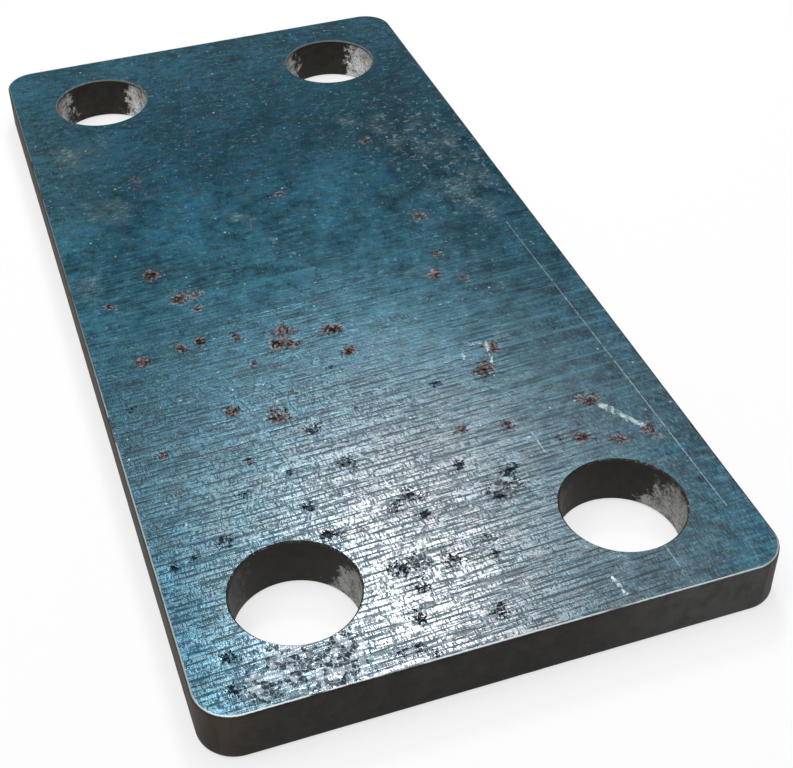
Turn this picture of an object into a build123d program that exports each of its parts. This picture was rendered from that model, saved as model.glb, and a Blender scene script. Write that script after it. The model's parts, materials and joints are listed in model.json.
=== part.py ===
"""Rectangular hot-rolled steel plate with rounded corners and a bolt hole near each corner.

The plate lies flat: X runs along its length, Y across its width and Z up through its
thickness. The origin is the middle of the underside. All sizes are in millimetres.
"""

import os

from build123d import *

# Blank, cut from rolled plate
plate_length = 250.0
plate_width = 120.0
plate_thickness = 12.0
corner_radius = 8.0

# The sharp cut edges are dressed to a small radius, above and below
edge_radius = 0.5

# Clearance holes for M24 bolts, one near each corner
hole_diameter = 26.0
hole_to_end = 25.0
hole_to_side = 25.0

# The drilling burr is taken off both rims of each hole
rim_chamfer = 0.4

# The bolt rectangle follows from the plate and the edge distances
bolt_spacing_along = plate_length - 2 * hole_to_end
bolt_spacing_across = plate_width - 2 * hole_to_side

with BuildPart() as steel_plate:
    # Blank: a rounded rectangle raised to the plate's thickness
    with BuildSketch(Plane.XY):
        RectangleRounded(plate_length, plate_width, corner_radius)
    extrude(amount=plate_thickness)

    # Dressed edges: the whole outline, on the rolled face and on the underside
    outline = edges().filter_by(Plane.XY)
    fillet(outline, radius=edge_radius)

    # Bolt holes: straight through from the rolled face, at the corners of the rectangle
    with Locations(Plane.XY.offset(plate_thickness)):
        with GridLocations(bolt_spacing_along, bolt_spacing_across, 2, 2):
            Hole(radius=hole_diameter / 2)

    # Broken rims: both ends of each bore
    rims = edges(Select.LAST).filter_by(GeomType.CIRCLE)
    chamfer(rims, length=rim_chamfer)

steel_plate.part.label = "steel_plate"

os.makedirs("parts", exist_ok=True)
export_step(steel_plate.part, "parts/steel_plate.step")
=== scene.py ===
"""A hot-rolled steel plate with four bolt holes, lying flat on a pale studio floor.

X runs along the plate, Y across it and Z up out of its rolled face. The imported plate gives
its size and the places of its bores. Inside this file the plate is worked out in millimetres,
and its mesh is brought to metres at the end.
"""
import json

import bpy
import numpy as np
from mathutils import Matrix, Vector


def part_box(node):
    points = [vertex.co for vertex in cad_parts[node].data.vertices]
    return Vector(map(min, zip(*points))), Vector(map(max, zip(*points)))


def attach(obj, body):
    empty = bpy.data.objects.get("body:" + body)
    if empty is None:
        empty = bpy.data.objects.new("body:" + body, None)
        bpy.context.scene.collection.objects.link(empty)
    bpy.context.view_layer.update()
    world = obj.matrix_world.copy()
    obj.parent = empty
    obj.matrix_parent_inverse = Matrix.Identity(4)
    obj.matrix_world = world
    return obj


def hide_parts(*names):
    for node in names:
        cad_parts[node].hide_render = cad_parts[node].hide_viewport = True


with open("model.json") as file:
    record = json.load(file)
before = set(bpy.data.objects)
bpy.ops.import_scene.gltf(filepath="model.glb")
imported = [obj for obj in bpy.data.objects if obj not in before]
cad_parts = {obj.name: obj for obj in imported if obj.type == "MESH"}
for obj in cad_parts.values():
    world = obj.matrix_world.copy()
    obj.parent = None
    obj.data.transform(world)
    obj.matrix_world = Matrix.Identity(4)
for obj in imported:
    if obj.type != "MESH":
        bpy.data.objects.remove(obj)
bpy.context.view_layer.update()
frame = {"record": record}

# The plate: one blank of hot-rolled steel, cut to size with rounded corners and dressed edges,
# and drilled through near each corner. Its rolled faces still carry their blue mill scale,
# with rust and pits where the scale has broken, and its cut edges are dark and bare.
mm = 0.001
low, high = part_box("steel_plate")
plate_length, plate_width, plate_thickness = (high - low) / mm
corner_radius = 8.0
edge_radius = 0.5
rim_chamfer = 0.4

first_bore = next(m for m in frame["record"]["mounts"] if m["kind"] == "bore")
bore_x, bore_y = (abs(place) / mm for place in first_bore["pos_m"][:2])
bore_radius = first_bore["dims"]["r_mm"]

# The mesh is a net of quads of this size. The land is the square of plate round each bore, up
# to the two edges beside it, and the neck is the strip between two lands
quad_size = 0.95
land = plate_length / 2 - bore_x
land_steps = round(2 * land / quad_size)
middle_half = bore_x - land
middle_steps = round(2 * middle_half / quad_size)
neck_half = bore_y - land
neck_steps = round(2 * neck_half / quad_size)
land_rings = 15
wall_rows = 8

# The rolled faces end where the dressed edges begin
far = plate_length / 2 - edge_radius
side = plate_width / 2 - edge_radius


def corner_outline():
    """The outline from where the land of the +X +Y bore begins, along the long side, round
    the corner and along the short side to the land's other end. Along each side the points
    are evenly spaced, and the last of them before the corner are bent on to its arc, at
    angles in proportion to their distance. Returns points and their outward normals."""
    ahead = np.linspace(2 * land, 0, land_steps + 1)
    turn = np.pi / 4 * np.clip(1 - ahead / corner_radius, 0, 1)
    turn = np.concatenate([turn, np.pi / 2 - turn[-2::-1]])
    normal = np.stack([np.sin(turn), np.cos(turn)], -1)
    centre = np.array([plate_length, plate_width]) / 2 - corner_radius
    point = centre + corner_radius * normal
    straight = np.maximum(ahead - corner_radius, 0)
    point[: land_steps + 1, 0] -= straight
    point[land_steps:, 1] -= straight[::-1]
    return point, normal


def whole_outline():
    """The corner's outline in all four quarters, each mirrored into place and taken in turn
    round the plate, with the straight middles of the sides between them."""
    point, normal = corner_outline()
    points, normals = [], []
    quarters = ((1, 1, 1, neck_steps), (1, -1, -1, middle_steps),
                (-1, -1, 1, neck_steps), (-1, 1, -1, middle_steps))
    for sign_x, sign_y, turned, gap in quarters:
        sign = np.array([sign_x, sign_y])
        points.append((point * sign)[::turned])
        normals.append((normal * sign)[::turned])
        end = points[-1][-1]
        across = np.array([1, -1]) if gap == neck_steps else np.array([-1, 1])
        share = np.linspace(0, 1, gap + 1)[1:-1, None]
        points.append(end + (end * across - end) * share)
        normals.append(np.repeat(normals[-1][-1:], gap - 1, 0))
    return np.concatenate(points), np.concatenate(normals)


def land_border():
    """The closed border of the +X +Y land: its part of the outline, drawn in by the edge
    radius, then back along the neck and along the middle of the plate."""
    point, normal = corner_outline()
    outer = point - normal * edge_radius
    back = np.linspace(far, middle_half, land_steps + 1)[1:]
    up = np.linspace(neck_half, side, land_steps + 1)[1:-1]
    return np.concatenate([outer,
                           np.stack([back, np.full(len(back), neck_half)], -1),
                           np.stack([np.full(len(up), middle_half), up], -1)])


patches = []


def add_patch(points, skin, flip=False, closed=False):
    """A grid of points, rows by columns, as quads. Closed joins the last column to the
    first, and flip turns the faces over."""
    rows, columns = points.shape[:2]
    index = np.arange(rows * columns).reshape(rows, columns)
    if closed:
        index = np.concatenate([index, index[:, :1]], 1)
    quads = np.stack([index[:-1, :-1], index[1:, :-1], index[1:, 1:], index[:-1, 1:]], -1)
    quads = quads.reshape(-1, 4)
    patches.append((points.reshape(-1, 3), quads[:, ::-1] if flip else quads, skin))


def at_height(plan, height):
    """Points of the plan, with the same height given to each."""
    return np.concatenate([plan, np.full(plan.shape[:-1] + (1,), height)], -1)


ROLLED, CUT, BORE = range(3)
across_plate = np.concatenate([np.linspace(-side, -neck_half, land_steps + 1),
                               np.linspace(-neck_half, neck_half, neck_steps + 1)[1:-1],
                               np.linspace(neck_half, side, land_steps + 1)])
along_middle = np.linspace(-middle_half, middle_half, middle_steps + 1)
across_neck = np.linspace(-neck_half, neck_half, neck_steps + 1)
along_neck = np.linspace(middle_half, far, land_steps + 1)
border = land_border()
bore_centre = np.array([bore_x, bore_y])
ray = border - bore_centre
ray /= np.linalg.norm(ray, axis=1, keepdims=True)
rim = bore_centre + ray * (bore_radius + rim_chamfer)
share = np.linspace(0, 1, land_rings + 1)[:, None, None]
land_plan = rim + (border - rim) * share

# Both rolled faces: the middle, the two necks between the bores, and the four lands
for height, under in ((plate_thickness, False), (0.0, True)):
    plan = np.stack(np.meshgrid(along_middle, across_plate, indexing="ij"), -1)
    add_patch(at_height(plan, height), ROLLED, flip=under)
    plan = np.stack(np.meshgrid(along_neck, across_neck, indexing="ij"), -1)
    for end in (1, -1):
        add_patch(at_height(plan * (end, 1), height), ROLLED, flip=under != (end < 0))
    for sign_x in (1, -1):
        for sign_y in (1, -1):
            mirrored = sign_x * sign_y < 0
            add_patch(at_height(land_plan * (sign_x, sign_y), height), ROLLED,
                      flip=(not mirrored) != under, closed=True)

# Bore walls: a chamfer, the straight wall and a chamfer, swept round each bore
wall_heights = np.linspace(plate_thickness - rim_chamfer, rim_chamfer, wall_rows + 1)
profile_height = np.concatenate([[plate_thickness], wall_heights, [0.0]])
profile_radius = np.full(len(profile_height), bore_radius)
profile_radius[[0, -1]] += rim_chamfer
for sign_x in (1, -1):
    for sign_y in (1, -1):
        wall = bore_centre + ray * profile_radius[:, None, None]
        wall = np.concatenate([wall * (sign_x, sign_y),
                               np.broadcast_to(profile_height[:, None, None],
                                               wall.shape[:2] + (1,))], -1)
        add_patch(wall, BORE, flip=sign_x * sign_y > 0, closed=True)

# Cut edges: a rounded arris, the straight face and a rounded arris, carried round the outline
arris_steps = 3
arc = np.linspace(0, np.pi / 2, arris_steps + 1)
drawn_in = edge_radius * (1 - np.sin(arc))
dropped = edge_radius * (1 - np.cos(arc))
face_heights = np.linspace(plate_thickness - edge_radius, edge_radius, wall_rows + 1)[1:-1]
profile_inset = np.concatenate([drawn_in, np.zeros(len(face_heights)), drawn_in[::-1]])
profile_height = np.concatenate([plate_thickness - dropped, face_heights, dropped[::-1]])
outline, outward = whole_outline()
band = outline - outward * profile_inset[:, None, None]
band = np.concatenate([band, np.broadcast_to(profile_height[:, None, None],
                                             band.shape[:2] + (1,))], -1)
add_patch(band, CUT, closed=True)

# Patches meet at points they share, which become one point each: those that are the same to a
# thousandth of a millimetre
merge_decimals = 3
offsets = np.cumsum([0] + [len(points) for points, _, _ in patches[:-1]])
every_point = np.concatenate([points for points, _, _ in patches])
every_quad = np.concatenate([quads + offset for (_, quads, _), offset in zip(patches, offsets)])
every_skin = np.concatenate([np.full(len(quads), skin) for _, quads, skin in patches])
_, kept, merged = np.unique(np.round(every_point, merge_decimals), axis=0, return_index=True,
                            return_inverse=True)
points = every_point[kept]
quads = merged.reshape(-1)[every_quad]

# Rust: where the scale has broken and the steel has rusted through, in mm from the middle of
# the plate: along it, across it, and the spot's radius
rust_spots = (
    (-1, 35, 2.6), (-1, 31, 1.8), (-7, 32, 1.6), (-22, 48, 1.8), (-20, 39, 1.6), (-19, 34, 1.5),
    (-20, 26, 1.2), (-22, 15, 2.4), (-26, 18, 1.9), (-27, 14, 2.0), (-25, 4, 2.2),
    (-34, 3, 1.6), (-13, -27, 1.9), (-5, -30, 1.3), (-17, -33, 1.0), (-45, 33, 1.5),
    (-50, 24, 2.2), (-44, 19, 1.3), (-54, 51, 1.2), (-62, 34, 1.0), (-51, -24, 2.3),
    (-44, -29, 1.9), (-69, -42, 2.3), (-82, -51, 2.1), (-79, -36, 1.5), (-82, -43, 1.8),
    (-77, -31, 1.0), (-68, -12, 1.2), (11, 39, 2.2), (35, -1, 1.3), (55, 34, 1.5),
    (52, -31, 1.6), (12, -32, 1.5), (2, 52, 1.2), (-31, 24, 1.0), (-70, -22, 1.4),
)
# Pits: dark hollows where rolled-in scale has come away
pits = (
    (-37, 54, 1.2), (-57, 18, 1.7), (-53, 7, 0.9), (-52, -12, 1.4), (-70, 14, 2.0),
    (-78, -8, 1.5), (-79, 26, 1.3), (-83, 45, 1.9), (-85, 52, 1.2), (-86, 56, 1.1),
    (-83, 5, 2.5), (-85, 9, 1.8), (-89, 4, 1.5), (-83, -17, 2.2), (-87, -16, 2.4),
    (-89, -12, 2.3), (-88, 24, 2.0), (-101, 14, 2.3), (-101, 9, 1.8), (-102, 3, 2.2),
    (-100, -6, 1.4), (-104, -5, 1.5), (-107, 12, 1.8), (-114, 15, 1.8), (-118, 0, 2.1),
    (-123, 15, 1.2), (-111, 51, 1.9), (-115, 48, 0.9), (-119, 52, 1.6), (-121, 17, 1.3),
    (-121, 21, 1.2), (-71, 38, 1.5), (-68, 27, 1.0), (-89, 17, 1.0), (-38, 8, 0.8),
    (81, 6, 1.6), (64, -10, 1.6), (51, 34, 1.9), (46, 32, 1.6), (72, -13, 1.3),
)
# Pale blooms of dry rust dust, mostly near the long edge
blooms = (
    (64, -29, 3.0), (57, -36, 4.0), (48, -39, 3.5), (42, -44, 3.0), (45, -51, 5.0),
    (35, -52, 4.0), (22, -46, 5.5), (15, -48, 5.0), (25, -53, 4.0), (12, -32, 3.0),
    (63, -38, 2.5), (72, 48, 7.0), (42, 45, 6.0), (57, -48, 3.5), (-40, -33, 2.0),
    (8, -49, 3.0), (27, 12, 2.5), (11, 55, 5.0),
)
# Flaked ground, where the scale has crazed into small plates
flaked = ((-117, 41, 6.0), (-121, 34, 6.0), (-116, 30, 4.0), (-120, 47, 4.0), (-101, 10, 2.5),
          (-87, -14, 3.0))


def reach(plan, spots):
    """Distance from the nearest spot, in radii of that spot: 0 in its middle, 1 on its rim."""
    spots = np.array(spots, float)
    away = np.linalg.norm(plan[:, None] - spots[None, :, :2], axis=2)
    return (away / spots[:, 2]).min(1)


def unevenness(u, v, size, seed):
    """Random heights from 0 to 1 on the knots of a square net, smoothly joined."""
    knots = 256
    net = np.random.default_rng(seed).random((knots, knots))
    u, v = u / size + knots / 4, v / size + knots / 4
    i, j = np.floor(u).astype(int), np.floor(v).astype(int)
    s, t = (w * w * (3 - 2 * w) for w in (u - i, v - j))
    corner = [net[(i + a) % knots, (j + b) % knots] for a in (0, 1) for b in (0, 1)]
    return (corner[0] * (1 - s) * (1 - t) + corner[1] * (1 - s) * t
            + corner[2] * s * (1 - t) + corner[3] * s * t)


def rolling(u, v, *layers):
    """Unevenness in layers, each with its own height, size and seed, added up."""
    return sum(height * unevenness(u, v, size, seed) for height, size, seed in layers)


def smooth(value, start, stop):
    """0 up to start, 1 from stop on, and the curve 3s^2 - 2s^3 between them."""
    share = np.clip((value - start) / (stop - start), 0, 1)
    return share * share * (3 - 2 * share)


# Depth of a point inside the outline: 0 on the cut faces and growing inwards
plan = points[:, :2]
from_arc = np.abs(plan) - (np.array([plate_length, plate_width]) / 2 - corner_radius)
outside = np.maximum(from_arc, 0)
reach_out = np.linalg.norm(outside, axis=1)
inside = corner_radius - reach_out - np.minimum(from_arc.max(1), 0)
almost_nothing = 1e-6
outward_here = outside / np.maximum(reach_out, almost_nothing)[:, None]
outward_here = np.where(reach_out[:, None] > almost_nothing, outward_here, 0) * np.sign(plan)

# Relief: hollows at the pits, the rust and the flaked ground, a slow unevenness of both rolled
# faces, and small dents in the cut faces. Each fades out within this depth of its own face
skin_depth, side_depth = 1.0, 2.0
pit_depth, rust_depth, flake_depth = 0.05, 0.06, 0.05
on_top = smooth(points[:, 2], plate_thickness - skin_depth, plate_thickness)
x, y = plan.T
rust_reach = reach(plan, rust_spots)
pit_reach = reach(plan, pits)
bloom_reach = reach(plan, blooms)
flaked_reach = reach(plan, flaked)
ragged = unevenness(x, y, 1.3, 11)
hollow = pit_depth * smooth(1.35 - pit_reach, 0, 0.9) * (0.4 + 0.6 * ragged)
hollow += rust_depth * smooth(1.35 - rust_reach, 0, 0.9) * ragged
hollow += flake_depth * smooth(1.3 - flaked_reach, 0, 0.5) * unevenness(x, y, 1.6, 12)
hollow += rolling(x, y, (0.05, 30, 13), (0.012, 7, 14))
points[:, 2] -= on_top * hollow
on_bottom = smooth(skin_depth - points[:, 2], 0, skin_depth)
points[:, 2] += on_bottom * rolling(x, y, (0.05, 22, 15), (0.04, 3, 16))
on_side = smooth(side_depth - inside, 0, side_depth)
dents = rolling(x + y, points[:, 2], (0.04, 14, 17), (0.03, 2.5, 18))
points[:, :2] -= outward_here * (on_side * dents)[:, None]

mesh = bpy.data.meshes.new("plate")
mesh.from_pydata([], [], [])
mesh.vertices.add(len(points))
mesh.vertices.foreach_set("co", (points * mm).astype(np.float32).ravel())
mesh.loops.add(quads.size)
mesh.loops.foreach_set("vertex_index", quads.astype(np.int32).ravel())
mesh.polygons.add(len(quads))
mesh.polygons.foreach_set("loop_start", np.arange(0, quads.size, 4, dtype=np.int32))
mesh.polygons.foreach_set("material_index", every_skin.astype(np.int32))
mesh.update(calc_edges=True)
mesh.validate()
# The materials read how far each point lies from the spots. The underside has none
no_spot_near = 9.0
for name, values in (("rust_reach", rust_reach), ("pit_reach", pit_reach),
                     ("bloom_reach", bloom_reach), ("flaked_reach", flaked_reach)):
    values = np.where(points[:, 2] > plate_thickness / 2, values, no_spot_near)
    layer = mesh.attributes.new(name, "FLOAT", "POINT")
    layer.data.foreach_set("value", values.astype(np.float32))
sharp_angle = np.radians(38)
mesh.shade_smooth()
mesh.set_sharp_from_angle(angle=sharp_angle)

plate = bpy.data.objects.new("plate", mesh)
bpy.context.scene.collection.objects.link(plate)
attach(plate, "root")
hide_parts("steel_plate")


def tint(red, green, blue):
    """A colour as the eye reads it, 0 to 255, in the linear values that a shader takes."""
    value = np.array([red, green, blue]) / 255
    value = np.where(value < 0.04045, value / 12.92, ((value + 0.055) / 1.055) ** 2.4)
    return (*value.tolist(), 1.0)


class Wire:
    """One socket of a material's nodes. Arithmetic on it adds Math nodes, and node() adds
    any other kind."""

    def __init__(self, tree, socket=None):
        self.tree = tree
        self.socket = socket

    def node(self, kind, settings=None, inputs=None, output=0):
        made = self.tree.nodes.new(kind)
        for name, value in (settings or {}).items():
            setattr(made, name, value)
        for name, value in (inputs or {}).items():
            if isinstance(value, Wire):
                self.tree.links.new(value.socket, made.inputs[name])
            else:
                made.inputs[name].default_value = value
        return Wire(self.tree, made.outputs[output])

    def math(self, operation, *others):
        values = dict(enumerate((self, *others)))
        return self.node("ShaderNodeMath", {"operation": operation}, values)

    def __add__(self, other):
        return self.math("ADD", other)

    def __sub__(self, other):
        return self.math("SUBTRACT", other)

    def __rsub__(self, other):
        return self.math("MULTIPLY_ADD", -1.0, other)

    def __mul__(self, other):
        return self.math("MULTIPLY", other)

    def __truediv__(self, other):
        return self.math("DIVIDE", other)

    __radd__ = __add__
    __rmul__ = __mul__

    def least(self, other):
        return self.math("MINIMUM", other)

    def most(self, other):
        return self.math("MAXIMUM", other)

    def magnitude(self):
        return self.math("ABSOLUTE")

    def rise(self, start, stop):
        """0 below start, 1 above stop, smooth between. With start above stop it falls."""
        if start > stop:
            return 1 - self.rise(stop, start)
        return self.node("ShaderNodeMapRange", {"interpolation_type": "SMOOTHSTEP"},
                         {"Value": self, "From Min": start, "From Max": stop})

    def stretch(self, along, across, up=1.0):
        """This place, with each direction multiplied by its own factor."""
        return self.node("ShaderNodeVectorMath", {"operation": "MULTIPLY"},
                         {0: self, 1: (along, across, up)})

    def noise(self, size, detail=2.0, rough=0.5, flat=True):
        """Cloudy variation from 0 to 1, with features about as large as size."""
        return self.node("ShaderNodeTexNoise", {"noise_dimensions": "2D" if flat else "3D"},
                         {"Vector": self, "Scale": 1.0 / size, "Detail": detail,
                          "Roughness": rough})

    def blend(self, under, over):
        """under where this value is 0 and over where it is 1, as colours."""
        return self.node("ShaderNodeMix", {"data_type": "RGBA"},
                         {0: self, 6: under, 7: over}, output=2)

    def dim(self, light):
        """This colour, darker or lighter by the value light."""
        return self.node("ShaderNodeMix", {"data_type": "RGBA", "blend_type": "MULTIPLY"},
                         {0: 1.0, 6: self, 7: light}, output=2)


def start_material(name):
    """A bare material with its shader, and the place on the plate in millimetres."""
    material = bpy.data.materials.new(name)
    material.use_nodes = True
    tree = material.node_tree
    shader = tree.nodes["Principled BSDF"]
    place = Wire(tree).node("ShaderNodeTexCoord", output=3)
    place = place.node("ShaderNodeVectorMath", {"operation": "SCALE"},
                       {0: place, 3: 1 / mm})
    return material, shader, place


def feed(shader, name, wire):
    """Links a value or colour to the shader's socket of that name."""
    wire.tree.links.new(wire.socket, shader.inputs[name])


def emboss(height):
    """A bump of this height in millimetres."""
    return height.node("ShaderNodeBump", None,
                       {"Strength": 1.0, "Distance": mm, "Height": height})


def split(place):
    """The three coordinates of a place, each as a value."""
    return [place.node("ShaderNodeSeparateXYZ", None, {0: place}, output=k) for k in range(3)]


# Rolled face: blue oxide scale with a soft gloss, drawn into fine lines across the plate by
# the rolls, crazed between them, and broken by rust, pits, blooms and scratches
material, shader, place = start_material("rolled_scale")
x, y, _ = split(place)
rolled_askew = np.radians(-2.5)
turned = place.node("ShaderNodeMapping", None,
                    {"Vector": place, "Rotation": (0, 0, rolled_askew)})
# Noises from broad to fine, with the size of their features in mm
cloud = place.noise(34, detail=3, rough=0.6)
mottle = place.noise(6, detail=4, rough=0.7)
grain = place.noise(2.1, detail=4, rough=0.75)
stain = place.noise(1.5, detail=3, rough=0.75)
fleck = place.noise(0.8, detail=3, rough=0.75)
tatter = place.noise(0.75, detail=2, rough=0.7)
hair = turned.stretch(0.16, 1.0).noise(0.28, detail=2, rough=0.7)

# Roll lines run across the plate, close together and each a few centimetres long, from its
# middle to its -X end. They are the thin level lines of a noise that is drawn out across the
# plate, and the troughs of wavy bands
line_gap, wave_repeat = 1.3, 0.314
line_zone = (x + (place.noise(26) - 0.5) * 60).rise(34, -52)
drawn = turned.stretch(1.0, 0.03).noise(1.5, detail=3, rough=0.6)
broken = turned.stretch(1.0, 0.3).noise(1.5, detail=3, rough=0.7)
waves = place.node("ShaderNodeTexWave", {"bands_direction": "X"},
                   {"Vector": turned.stretch(1.0, 0.035), "Scale": wave_repeat / line_gap,
                    "Distortion": 4.5, "Detail": 2.0, "Detail Scale": 1.2,
                    "Detail Roughness": 0.6}, output=1)
level_lines = (drawn - 0.5).magnitude().rise(0.040, 0.011)
troughs = waves.rise(0.41, 0.13) * broken.rise(0.63, 0.43)
line_dark = (level_lines * 0.85 + troughs).least(1.0) * line_zone

# Craze cracks run the other way from line to line
cracked = turned.stretch(0.28, 1.0).noise(0.9, detail=2, rough=0.6)
craze_zone = (x.rise(10, -60) * y.rise(-64, 20) + (mottle - 0.5) * 1.2).rise(0.05, 0.85)
craze_dark = (cracked - 0.5).magnitude().rise(0.085, 0.02) * stain.rise(0.36, 0.50)
craze_dark = (craze_dark + hair.rise(0.44, 0.32) * 0.5).least(1.0) * craze_zone

# Broad tones of the scale, each laid over those before it: how strongly and where, and its
# colour. The worn one is a band along the middle, toward the -X end: partly rubbed wear, partly
# painted sheen that greys the scale to the neutral grey of the highlight lying along it
from_sheen_band = (y + 1 + (x + 40) * 0.17).magnitude()
worn_and_sheen = (from_sheen_band + (mottle - 0.5) * 20).rise(35, 2) * x.rise(-25, -95)
thick_scale, thin_scale, clear_blue = tint(29, 80, 100), tint(47, 108, 132), tint(54, 122, 144)
soft_blue, grey_blue, rubbed_and_sheen_grey = tint(50, 114, 134), tint(70, 102, 116), tint(131, 129, 130)
strong_blue, end_blue = tint(24, 112, 140), tint(60, 118, 140)
edge_blue, dull_blue = tint(66, 130, 152), tint(72, 112, 126)
colour = cloud.rise(0.32, 0.68).blend(thick_scale, thin_scale)
for strength, over in (
    (y.rise(0, 70) * x.rise(90, -110), clear_blue),
    (x.rise(45, -30) * y.rise(-70, -20) * 0.7, soft_blue),
    (x.rise(-40, -100) * y.rise(40, 0) * y.rise(-58, -35) * 0.8, grey_blue),
    # partly painted sheen: the band greyed under the highlight
    (worn_and_sheen * 0.8, rubbed_and_sheen_grey),
    (y.rise(48, 60) * x.rise(-50, -100) * 0.6, strong_blue),
    (x.rise(75, 120) * 0.6, end_blue),
    (y.rise(44, 58) * x.rise(-40, 0) * 0.7, edge_blue),
    (y.rise(30, 56) * x.rise(25, 60) * x.rise(110, 80) * 0.5, dull_blue),
):
    colour = strength.blend(colour, over)

# Small drifts of hue, and greyed spots toward the +X end
hue_size = 5
hue = place.node("ShaderNodeTexNoise", {"noise_dimensions": "2D"},
                 {"Vector": place, "Scale": 1 / hue_size, "Detail": 5.0, "Roughness": 0.7},
                 output=1)
colour = place.node("ShaderNodeMix", {"data_type": "RGBA", "blend_type": "OVERLAY"},
                    {0: 0.22, 6: colour, 7: hue}, output=2)
greyed = place.noise(4.5, detail=4, rough=0.75).rise(0.52, 0.7) * x.rise(-40, 40)
greyed_scale = tint(66, 84, 88)
colour = (greyed * 0.6).blend(colour, greyed_scale)

# Light and dark: each noise about its middle value, with its weight, then broad patches that
# are a share darker or lighter
near = x.rise(40, -40)
far_cloud = (mottle + 0.22 * x.rise(15, 60) * (cloud - 0.2).rise(0, 0.4)).rise(0.58, 0.8)
smear = turned.stretch(1.0, 0.4).noise(4, detail=4, rough=0.6)
drift = place.noise(15, detail=3, rough=0.55)
light = (1.0 + (0.6 + 0.6 * near) * (grain - 0.5) + 2.0 * (mottle - 0.5)
         + (1.0 + 0.5 * near) * (hair - 0.5) - 0.5 * far_cloud)
light = light + (0.5 * (smear - 0.5) + 0.7 * (drift - 0.5)) * (1 - near)
# The roll lines' term is partly their tone and partly painted highlight, lighter on their ridges
light = light + 0.9 * (broken - 0.5) + 1.2 * (drawn - 0.5) * line_zone
for change, where in (
    # painted shade: the -Y side darker from near the -X end on, narrowing the sheen there
    (-0.20, y.rise(-12, -40) * x.rise(-100, -60)),
    (0.14, y.magnitude().rise(50, 25) * x.rise(65, 40) * x.rise(-15, 5)),
    (0.20, y.rise(10, 40) * x.rise(50, 65) * x.rise(90, 75)),
    (0.14, y.rise(-42, -54) * x.rise(-30, 0)),
):
    light = light * (1.0 + change * where)
darkest = 0.15
colour = colour.dim(light.most(darkest))

# Painted highlights: glints painted on the ridges between the lines toward the -X end, then the
# grooves themselves, pale dashes where the scale is thin, and dark freckles
painted_glint_blue, painted_glint_grey, groove_blue = tint(104, 150, 168), tint(134, 156, 166), tint(14, 42, 54)
dash_pale, freckle_dark = tint(126, 168, 178), tint(20, 34, 44)
painted_glint = (hair * 0.5 + grain * 0.5).rise(0.48, 0.66) * x.rise(-10, -80) * y.rise(64, 46) * 0.4
painted_glint = painted_glint.most((drawn - 0.5).rise(0.02, 0.12) * line_zone * x.rise(-90, -50) * 0.35)
colour = painted_glint.blend(colour, x.rise(-50, -80).blend(painted_glint_blue, painted_glint_grey))
groove = (line_dark * (0.92 - 0.42 * y.rise(-30, -50))).most(craze_dark * 0.9)
colour = groove.blend(colour, groove_blue)
dashes = place.stretch(1.0, 0.45).noise(0.9, detail=3, rough=0.75)
pale = dashes.rise(0.56, 0.68) * grain.rise(0.40, 0.6) * mottle.rise(0.38, 0.58)
pale = pale * (0.3 + x.rise(-60, 20) * 0.7)
colour = (pale * 0.8).blend(colour, dash_pale)
freckle = tatter.rise(0.36, 0.26) * mottle.rise(0.4, 0.6) * (0.45 + 0.55 * near)
colour = (freckle * 0.6).blend(colour, freckle_dark)

# Blooms: a soft haze with denser dashes in it, and ragged patches near the -Y edge
haze_grey, bloom_green, bloom_buff = tint(116, 132, 126), tint(112, 146, 150), tint(140, 138, 120)
rust_reach, pit_reach, bloom_reach, flaked_reach = [
    place.node("ShaderNodeAttribute", {"attribute_name": name}, output=2)
    for name in ("rust_reach", "pit_reach", "bloom_reach", "flaked_reach")]
soft_haze = (1.5 - bloom_reach + (mottle - 0.5) * 3.0).rise(0.0, 1.6) * x.rise(-20, 20)
colour = (soft_haze * 0.16).blend(colour, haze_grey)
haze = (1.3 - bloom_reach + (mottle - 0.5) * 4.0).rise(-0.2, 1.8)
haze = haze * (0.2 + dashes.rise(0.44, 0.62) * 0.8)
patch = place.noise(2.4, detail=4, rough=0.72)
patch_zone = y.rise(-10, -46) * (x + (cloud - 0.5) * 60).rise(-10, 30) * x.rise(100, 60)
bloom = (haze * 0.8).most((patch + 0.08 * patch_zone).rise(0.66, 0.74) * patch_zone)
colour = (bloom * 0.45).blend(colour, grain.rise(0.4, 0.6).blend(bloom_green, bloom_buff))

# Rust and pits: a spot's reach, torn by noises, first as a faint stain, then as crumbs of
# brown rust, and darkest in its core
rust_dark, rust_crumb, rust_stain = tint(68, 46, 42), tint(138, 106, 94), tint(96, 78, 70)
core_brown, pit_dark = tint(34, 24, 26), tint(34, 39, 48)
ragged = place.noise(3.0, detail=3, rough=0.65) - 0.5
near_rust = 1.1 - rust_reach - 3.0 * ragged
near_pit = 0.95 - pit_reach - 3.0 * ragged
rust = (stain + 0.2 * near_rust).rise(0.54, 0.60)
rust_core = (fleck + 0.17 * near_rust).rise(0.565, 0.605)
pit = (fleck + 0.22 * near_pit).rise(0.56, 0.60)
rust_tint = tatter.rise(0.48, 0.62).blend(rust_dark, rust_crumb)
colour = (near_rust.rise(-0.2, 1.0) * 0.2).blend(colour, rust_stain)
colour = (rust * (0.8 - 0.35 * x.rise(20, 50))).blend(colour, rust_tint)
colour = (rust_core * 0.9).blend(colour, core_brown)
colour = (pit * 0.8).blend(colour, pit_dark)


def cells(place, size, output, feature="F1"):
    """Angular cells about as wide as size. Output 0 is the distance to a cell's middle, or to
    its edge where feature says so, and output 1 is each cell's own random colour."""
    return place.node("ShaderNodeTexVoronoi", {"voronoi_dimensions": "2D", "feature": feature},
                      {"Vector": place, "Scale": 1 / size}, output=output)


def chance(colour):
    """One part of a random colour, as a random value from 0 to 1."""
    return colour.node("ShaderNodeSeparateColor", None, {0: colour})


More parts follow.
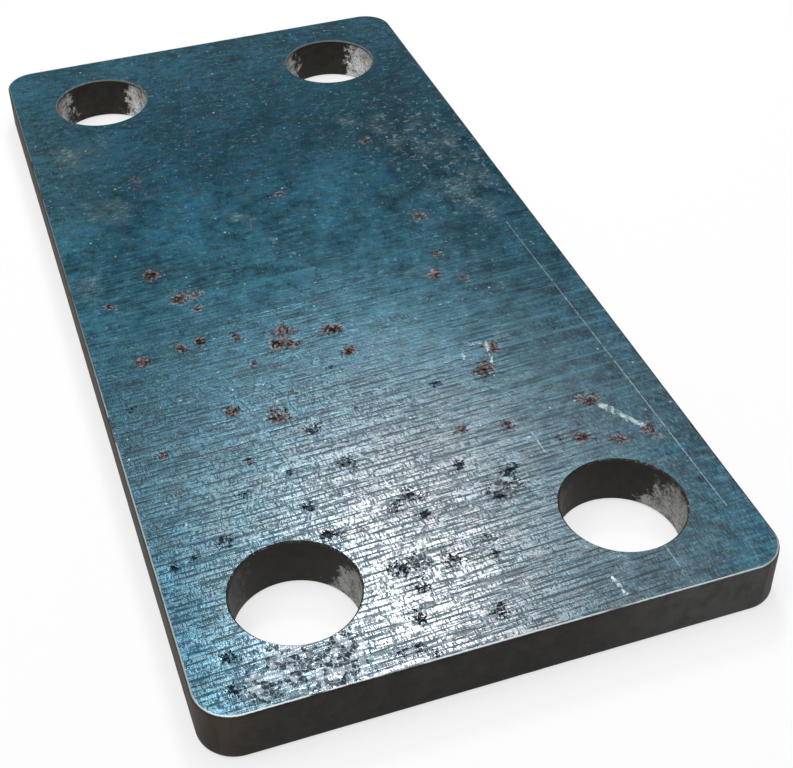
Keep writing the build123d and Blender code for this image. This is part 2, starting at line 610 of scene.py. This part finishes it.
# Flaked ground: small angular plates, lit unevenly, with dark gaps between them, on ground that
# has gone pale. The plates' outlines are bent by a noise
flake_size, bend_size, bent_by = 1.15, 1.25, 2.0
flake_ground, flake_gap = tint(152, 160, 166), tint(40, 50, 60)
flake_zone = (stain + 0.3 * (0.9 - flaked_reach)).rise(0.46, 0.56)
colour = (flake_zone * 0.38).blend(colour, flake_ground)
bending = place.node("ShaderNodeTexNoise", None, {"Vector": place, "Scale": 1 / bend_size},
                     output=1)
bent = place.node("ShaderNodeVectorMath", {"operation": "ADD"},
                  {0: place, 1: bending.stretch(bent_by, bent_by)})
flake_inside = cells(bent, flake_size, 0, "DISTANCE_TO_EDGE").rise(0.05, 0.16)
flake_shade = chance(cells(bent, flake_size, 1))
flake_dark = flake_shade.rise(0.72, 0.42) * (0.2 + 0.8 * flake_inside) * mottle.rise(0.31, 0.43)
flake_dark = (flake_dark + stain.rise(0.44, 0.36) * 0.5).least(1.0) * flake_zone
colour = (flake_dark * 0.86).blend(colour, flake_gap)


def specks(place, apart, largest, share):
    """Small bright dots, one at most to a cell of the given width, in a share of the cells."""
    distance = cells(place, apart, 0) * apart
    radius = (chance(cells(place, apart, 1)) - (1 - share)).most(0.0) * (largest / share)
    return (radius - distance).rise(0.0, 0.12)


scuff = place.noise(1.6, detail=3, rough=0.8)


def scratch(place, start, end, width, gaps):
    """A straight scratch: 1 within half its width of the line from start to end, with ragged
    sides, and broken up where the noise scuff falls under gaps."""
    x, y, _ = split(place)
    run = (end[0] - start[0], end[1] - start[1])
    square = run[0] ** 2 + run[1] ** 2
    from_x, from_y = x - start[0], y - start[1]
    part = ((from_x * run[0] + from_y * run[1]) / square).most(0.0).least(1.0)
    off_x, off_y = from_x - part * run[0], from_y - part * run[1]
    distance = (off_x * off_x + off_y * off_y).math("SQRT") + (tatter - 0.5) * (width * 1.3)
    return distance.rise(width * 0.7, width * 0.3) * scuff.rise(gaps - 0.08, gaps + 0.12)


# Scratches and scuffs: start, end, width, how far broken up, and strength, among bright specks
scratches = (
    ((2, -52), (-107.5, -54.5), 0.22, 0.40, 0.65),
    ((-71, -44), (-80, -49.5), 1.4, 0.47, 1.0),
    ((-117.5, -24.2), (-122, -24.8), 0.7, 0.46, 1.0),
    ((-112, -37.5), (-124, -38), 0.25, 0.5, 0.5),
    ((-72.5, -26), (-80.5, -26.3), 0.3, 0.45, 0.5),
    ((-76, 8.7), (-83, 8.3), 0.3, 0.45, 0.5),
    ((-41, -24), (-43, -29), 0.9, 0.52, 1.0),
    ((-42, -28.5), (-49, -27), 0.8, 0.52, 1.0),
    ((-43, -22), (-48, -21), 0.6, 0.55, 1.0),
)
marks = (specks(place, 7.5, 0.40, 0.4) + specks(place, 3.1, 0.32, 0.3) * 0.6) * x.rise(-200, 40)
for start, end, width, gaps, strength in scratches:
    marks = marks + scratch(place, start, end, width, gaps) * strength
bare_steel = tint(198, 212, 218)
colour = (marks.least(1.0) * 0.85).blend(colour, bare_steel)

# Relief finer than the mesh, in mm, and the gloss: the scale reflects like a dense glass, and
# only its grooves, pits and rust are rougher and take their own colour
height = (0.010 * (1.0 - line_dark) + 0.007 * (1.0 - craze_dark) + grain * 0.006
          + mottle * 0.010 + hair * 0.003 - pit * 0.02 - rust_core * 0.02 + rust * 0.02
          - flake_dark * 0.04)
roughness = (0.23 + (mottle - 0.5) * 0.08 + (hair - 0.5) * 0.12 + groove * 0.2
             - (drawn - 0.5) * line_zone * 0.12 - x.rise(-75, 0) * 0.06
             + rust * 0.3 + rust_core * 0.4 + pit * 0.5 + flake_dark * 0.3 + bloom * 0.2)
metallic = (0.1 + x.rise(-80, 20) * 0.3 + groove * 0.7 + pit * 0.5 + flake_dark * 0.3
            + rust_core * 0.3 + y.rise(40, 58) * x.rise(-50, -90) * 0.15)
feed(shader, "Base Color", colour)
feed(shader, "Normal", emboss(height))
feed(shader, "Roughness", roughness.least(0.95).most(0.15))
feed(shader, "Metallic", metallic.least(1.0))
scale_ior = 1.9
shader.inputs["IOR"].default_value = scale_ior
plate.data.materials.append(material)

# Cut edges: sawn and dressed steel that has darkened to a dull brown grey, with the arris
# rubbed bright in places and a painted highlight along it
edge_dark, edge_grey, edge_crumb = tint(28, 27, 23), tint(48, 45, 40), tint(66, 62, 56)
scuff_grey, scuff_pale = tint(60, 59, 58), tint(84, 83, 82)
rust_film, rust_film_pale, rubbed_and_highlit_white = tint(54, 44, 32), tint(68, 58, 44), tint(196, 206, 210)
material, shader, place = start_material("cut_edge")
x, y, z = split(place)
mottle = place.noise(5, detail=3, rough=0.65, flat=False)
grain = place.noise(0.6, detail=2, rough=0.6, flat=False)
mottle_and_corner_sheen = place.stretch(1.0, 1.0, 0.12).noise(2.2, detail=3, rough=0.7, flat=False)
# Upright streaks, painted sheen on the rounded corners, show only round the corners
past_x = (x.magnitude() - (plate_length / 2 - corner_radius)).rise(0, 3)
past_y = (y.magnitude() - (plate_width / 2 - corner_radius)).rise(0, 3)
mottle_and_corner_sheen = mottle + (mottle_and_corner_sheen - mottle) * past_x * past_y
colour = (mottle * 0.5 + mottle_and_corner_sheen * 0.5).rise(0.35, 0.65).blend(edge_dark, edge_grey)
colour = (grain.rise(0.5, 0.75) * 0.25).blend(colour, edge_crumb)
scuffed = x.rise(-110, -122) * (y + (mottle - 0.5) * 14).rise(-10, -40)
colour = (scuffed * 0.7).blend(colour, mottle_and_corner_sheen.rise(0.3, 0.6).blend(scuff_grey, scuff_pale))
brown = (0.55 + 0.45 * place.noise(11, detail=3, flat=False).rise(0.4, 0.6)) * y.rise(45, 55)
colour = (brown * 0.75).blend(colour, mottle_and_corner_sheen.rise(0.4, 0.6).blend(rust_film, rust_film_pale))
# painted highlight along the top arris of the +Y side and the -X end, partly rubbed bright steel
rubbed_and_highlit_arris = (z + (grain - 0.5) * 0.12).rise(plate_thickness - 0.17, plate_thickness - 0.08)
rubbed_and_highlit_arris = rubbed_and_highlit_arris * place.noise(16, detail=3, flat=False).rise(0.38, 0.48)
rubbed_and_highlit_arris = rubbed_and_highlit_arris * (y.rise(48, 56) * (0.25 + 0.75 * x.rise(0, -60))).most(x.rise(-116, -122))
colour = (rubbed_and_highlit_arris * 0.95).blend(colour, rubbed_and_highlit_white)
feed(shader, "Base Color", colour)
feed(shader, "Normal", emboss(mottle * 0.03 + grain * 0.012))
feed(shader, "Roughness", 0.6 + mottle * 0.2 - rubbed_and_highlit_arris * 0.25)
feed(shader, "Metallic", rubbed_and_highlit_arris * 0.5)
dull_gloss = 0.25
shader.inputs["Specular IOR Level"].default_value = dull_gloss
plate.data.materials.append(material)

# Bore walls: drilled and darkened with oil, with painted reflections on their flanks, laid in as
# bright steel: on both flanks at the +X end of the plate and low on the -Y one at the -X end
oiled_dark, oiled_grey, reflection_dull = tint(30, 27, 22), tint(52, 48, 40), tint(88, 88, 84)
reflection_soft, reflection_bright = tint(178, 178, 174), tint(240, 240, 238)
rim_glint_pale = tint(150, 162, 166)
material, shader, place = start_material("bore_wall")
x, y, z = split(place)
mottle = place.noise(3.0, detail=5, rough=0.75, flat=False)
grain = place.noise(0.5, detail=2, rough=0.6, flat=False)
# Which way a place on the wall lies from its bore's axis: 1 at the middle of the -Y flank and
# -1 at the middle of the +Y one
from_x = (x.magnitude() - bore_x) / bore_radius * x.math("SIGN")
from_y = (y.magnitude() - bore_y) / bore_radius * y.math("SIGN")
flank = from_x * -0.26 + from_y * -0.97
far_end = x.rise(-1, 1)
up = z / plate_thickness
broken = mottle - 0.5
# painted reflections on the flanks of each bore
right_reflection = (flank + broken - up * (0.55 - far_end * 0.45)).rise(0.36, 0.50)
left_reflection = (broken - flank).rise(0.74, 0.88) * (0.15 + 0.6 * far_end)
flank_reflection = right_reflection.most(left_reflection)
flank_reflection = flank_reflection * (z + (grain - 0.5) * 3).rise(plate_thickness - 0.4, plate_thickness - 1.2)
colour = mottle.rise(0.3, 0.7).blend(oiled_dark, oiled_grey)
bright = far_end.blend(reflection_soft, reflection_bright)
reflection_tint = (mottle * 0.6 + grain * 0.4).rise(0.36, 0.60).blend(reflection_dull, bright)
colour = flank_reflection.blend(colour, reflection_tint)
# painted highlight: a pale glint round the top of the rim's chamfer, stronger at the +X end
rim_glint = z.rise(plate_thickness - 0.42, plate_thickness - 0.3)
rim_glint = rim_glint * (far_end * 0.35 + grain.rise(0.58, 0.66) * 0.5)
colour = rim_glint.blend(colour, rim_glint_pale)
feed(shader, "Base Color", colour)
feed(shader, "Normal", emboss(mottle * 0.05 + grain * 0.015))
feed(shader, "Roughness", 0.5 + mottle * 0.2)
feed(shader, "Metallic", flank_reflection * 0.4)
shader.inputs["Specular IOR Level"].default_value = dull_gloss
plate.data.materials.append(material)

# Studio floor: one plain matt white sheet that lies flat under the plate and, well outside
# the view, curves up into a wall all round. Its profile is turned about the upright axis, and
# all its sizes are in metres
flat_radius, bend_radius, wall_top = 2.0, 1.0, 1.8
floor_drop = 0.0003
flat_rings = [0.05, 0.4, 1.0]
bend_steps, columns = 12, 72
bend = np.linspace(0, np.pi / 2, bend_steps + 1)
sheet_radius = np.concatenate([flat_rings, flat_radius + bend_radius * np.sin(bend),
                               [flat_radius + bend_radius]])
sheet_height = np.concatenate([np.zeros(len(flat_rings)), bend_radius * (1 - np.cos(bend)),
                               [wall_top]])
around = np.linspace(0, 2 * np.pi, columns, endpoint=False)
sheet = np.stack([sheet_radius[:, None] * np.cos(around), sheet_radius[:, None] * np.sin(around),
                  np.repeat(sheet_height[:, None] - floor_drop, len(around), 1)], -1)
index = np.arange(sheet[..., 0].size).reshape(sheet.shape[:2])
beside = np.roll(index, -1, axis=1)
sheet_quads = np.stack([index[:-1], index[1:], beside[1:], beside[:-1]], -1).reshape(-1, 4)
floor_mesh = bpy.data.meshes.new("floor")
floor_mesh.from_pydata(sheet.reshape(-1, 3).tolist(), [],
                       sheet_quads.tolist() + [index[0].tolist()])
floor_mesh.shade_smooth()
floor = bpy.data.objects.new("floor", floor_mesh)
bpy.context.scene.collection.objects.link(floor)
material, shader, place = start_material("floor_white")
floor_white, floor_roughness = (0.9, 0.9, 0.9, 1), 0.9
shader.inputs["Base Color"].default_value = floor_white
shader.inputs["Roughness"].default_value = floor_roughness
shader.inputs["Specular IOR Level"].default_value = 0.0
# The camera sees the sheet part glowing white, so that it is plain white and keeps the shadow
# near the plate. Mirror and glass rays see the glow only low down on the wall
camera_ray, mirror_ray, glass_ray = [
    place.node("ShaderNodeLightPath", output=name)
    for name in ("Is Camera Ray", "Is Glossy Ray", "Is Transmission Ray")]
away = place.node("ShaderNodeVectorMath", {"operation": "LENGTH"}, {0: place}, output=1)
up = split(place)[2]
lift = camera_ray.most(mirror_ray.most(glass_ray) * up.rise(500, 100))
lift = lift * (0.68 + 0.32 * away.rise(300, 1000))
glow = place.node("ShaderNodeEmission", None, {"Color": (1, 1, 1, 1), "Strength": 1.0})
mixed = place.node("ShaderNodeMixShader", None,
                   {0: lift, 1: Wire(place.tree, shader.outputs[0]), 2: glow})
place.tree.links.new(mixed.socket, place.tree.nodes["Material Output"].inputs["Surface"])
floor.data.materials.append(material)


# Lamps: a large soft box overhead, and a smaller one beyond the plate's +X end, whose
# reflection makes the sheen near its -X end. Places are in metres and powers in watts
def soft_box(name, place, aim, across, power):
    """A rectangular lamp of the given size, aimed from its place at a point."""
    lamp = bpy.data.lights.new(name, "AREA")
    lamp.shape = "RECTANGLE"
    lamp.size, lamp.size_y = across
    lamp.energy = power
    holder = bpy.data.objects.new(name, lamp)
    bpy.context.scene.collection.objects.link(holder)
    holder.location = place
    toward = Vector(aim) - Vector(place)
    holder.rotation_euler = toward.to_track_quat("-Z", "Y").to_euler()


soft_box("overhead_lamp", place=(-0.1, 0.15, 1.3), aim=(0, 0, 0), across=(1.3, 1.3), power=17)
soft_box("sheen_lamp", place=(0.49, -0.175, 0.779), aim=(-0.123, 0.010, 0.012),
         across=(0.15, 0.18), power=2.9)
world = bpy.data.worlds.new("studio")
world.use_nodes = True
background = world.node_tree.nodes["Background"]
fill_light = 0.06
background.inputs["Color"].default_value = (1, 1, 1, 1)
background.inputs["Strength"].default_value = fill_light
bpy.context.scene.world = world

# Camera: above the plate's -X end, looking down along it, and placed so that the outline and
# the bore rims fall where the photograph shows them
camera = bpy.data.objects.new("camera", bpy.data.cameras.new("camera"))
camera.location = (-0.28589, 0.07842, 0.22849)
camera.rotation_euler = np.radians((50.511, 1.238, -108.519)).tolist()
camera.data.sensor_width = 36
camera.data.lens = 66.77
camera.data.shift_x = 0.042
camera.data.shift_y = -0.042
camera.data.clip_start = 0.01
bpy.context.scene.collection.objects.link(camera)
bpy.context.scene.camera = camera
bpy.context.scene.view_settings.view_transform = "Standard"
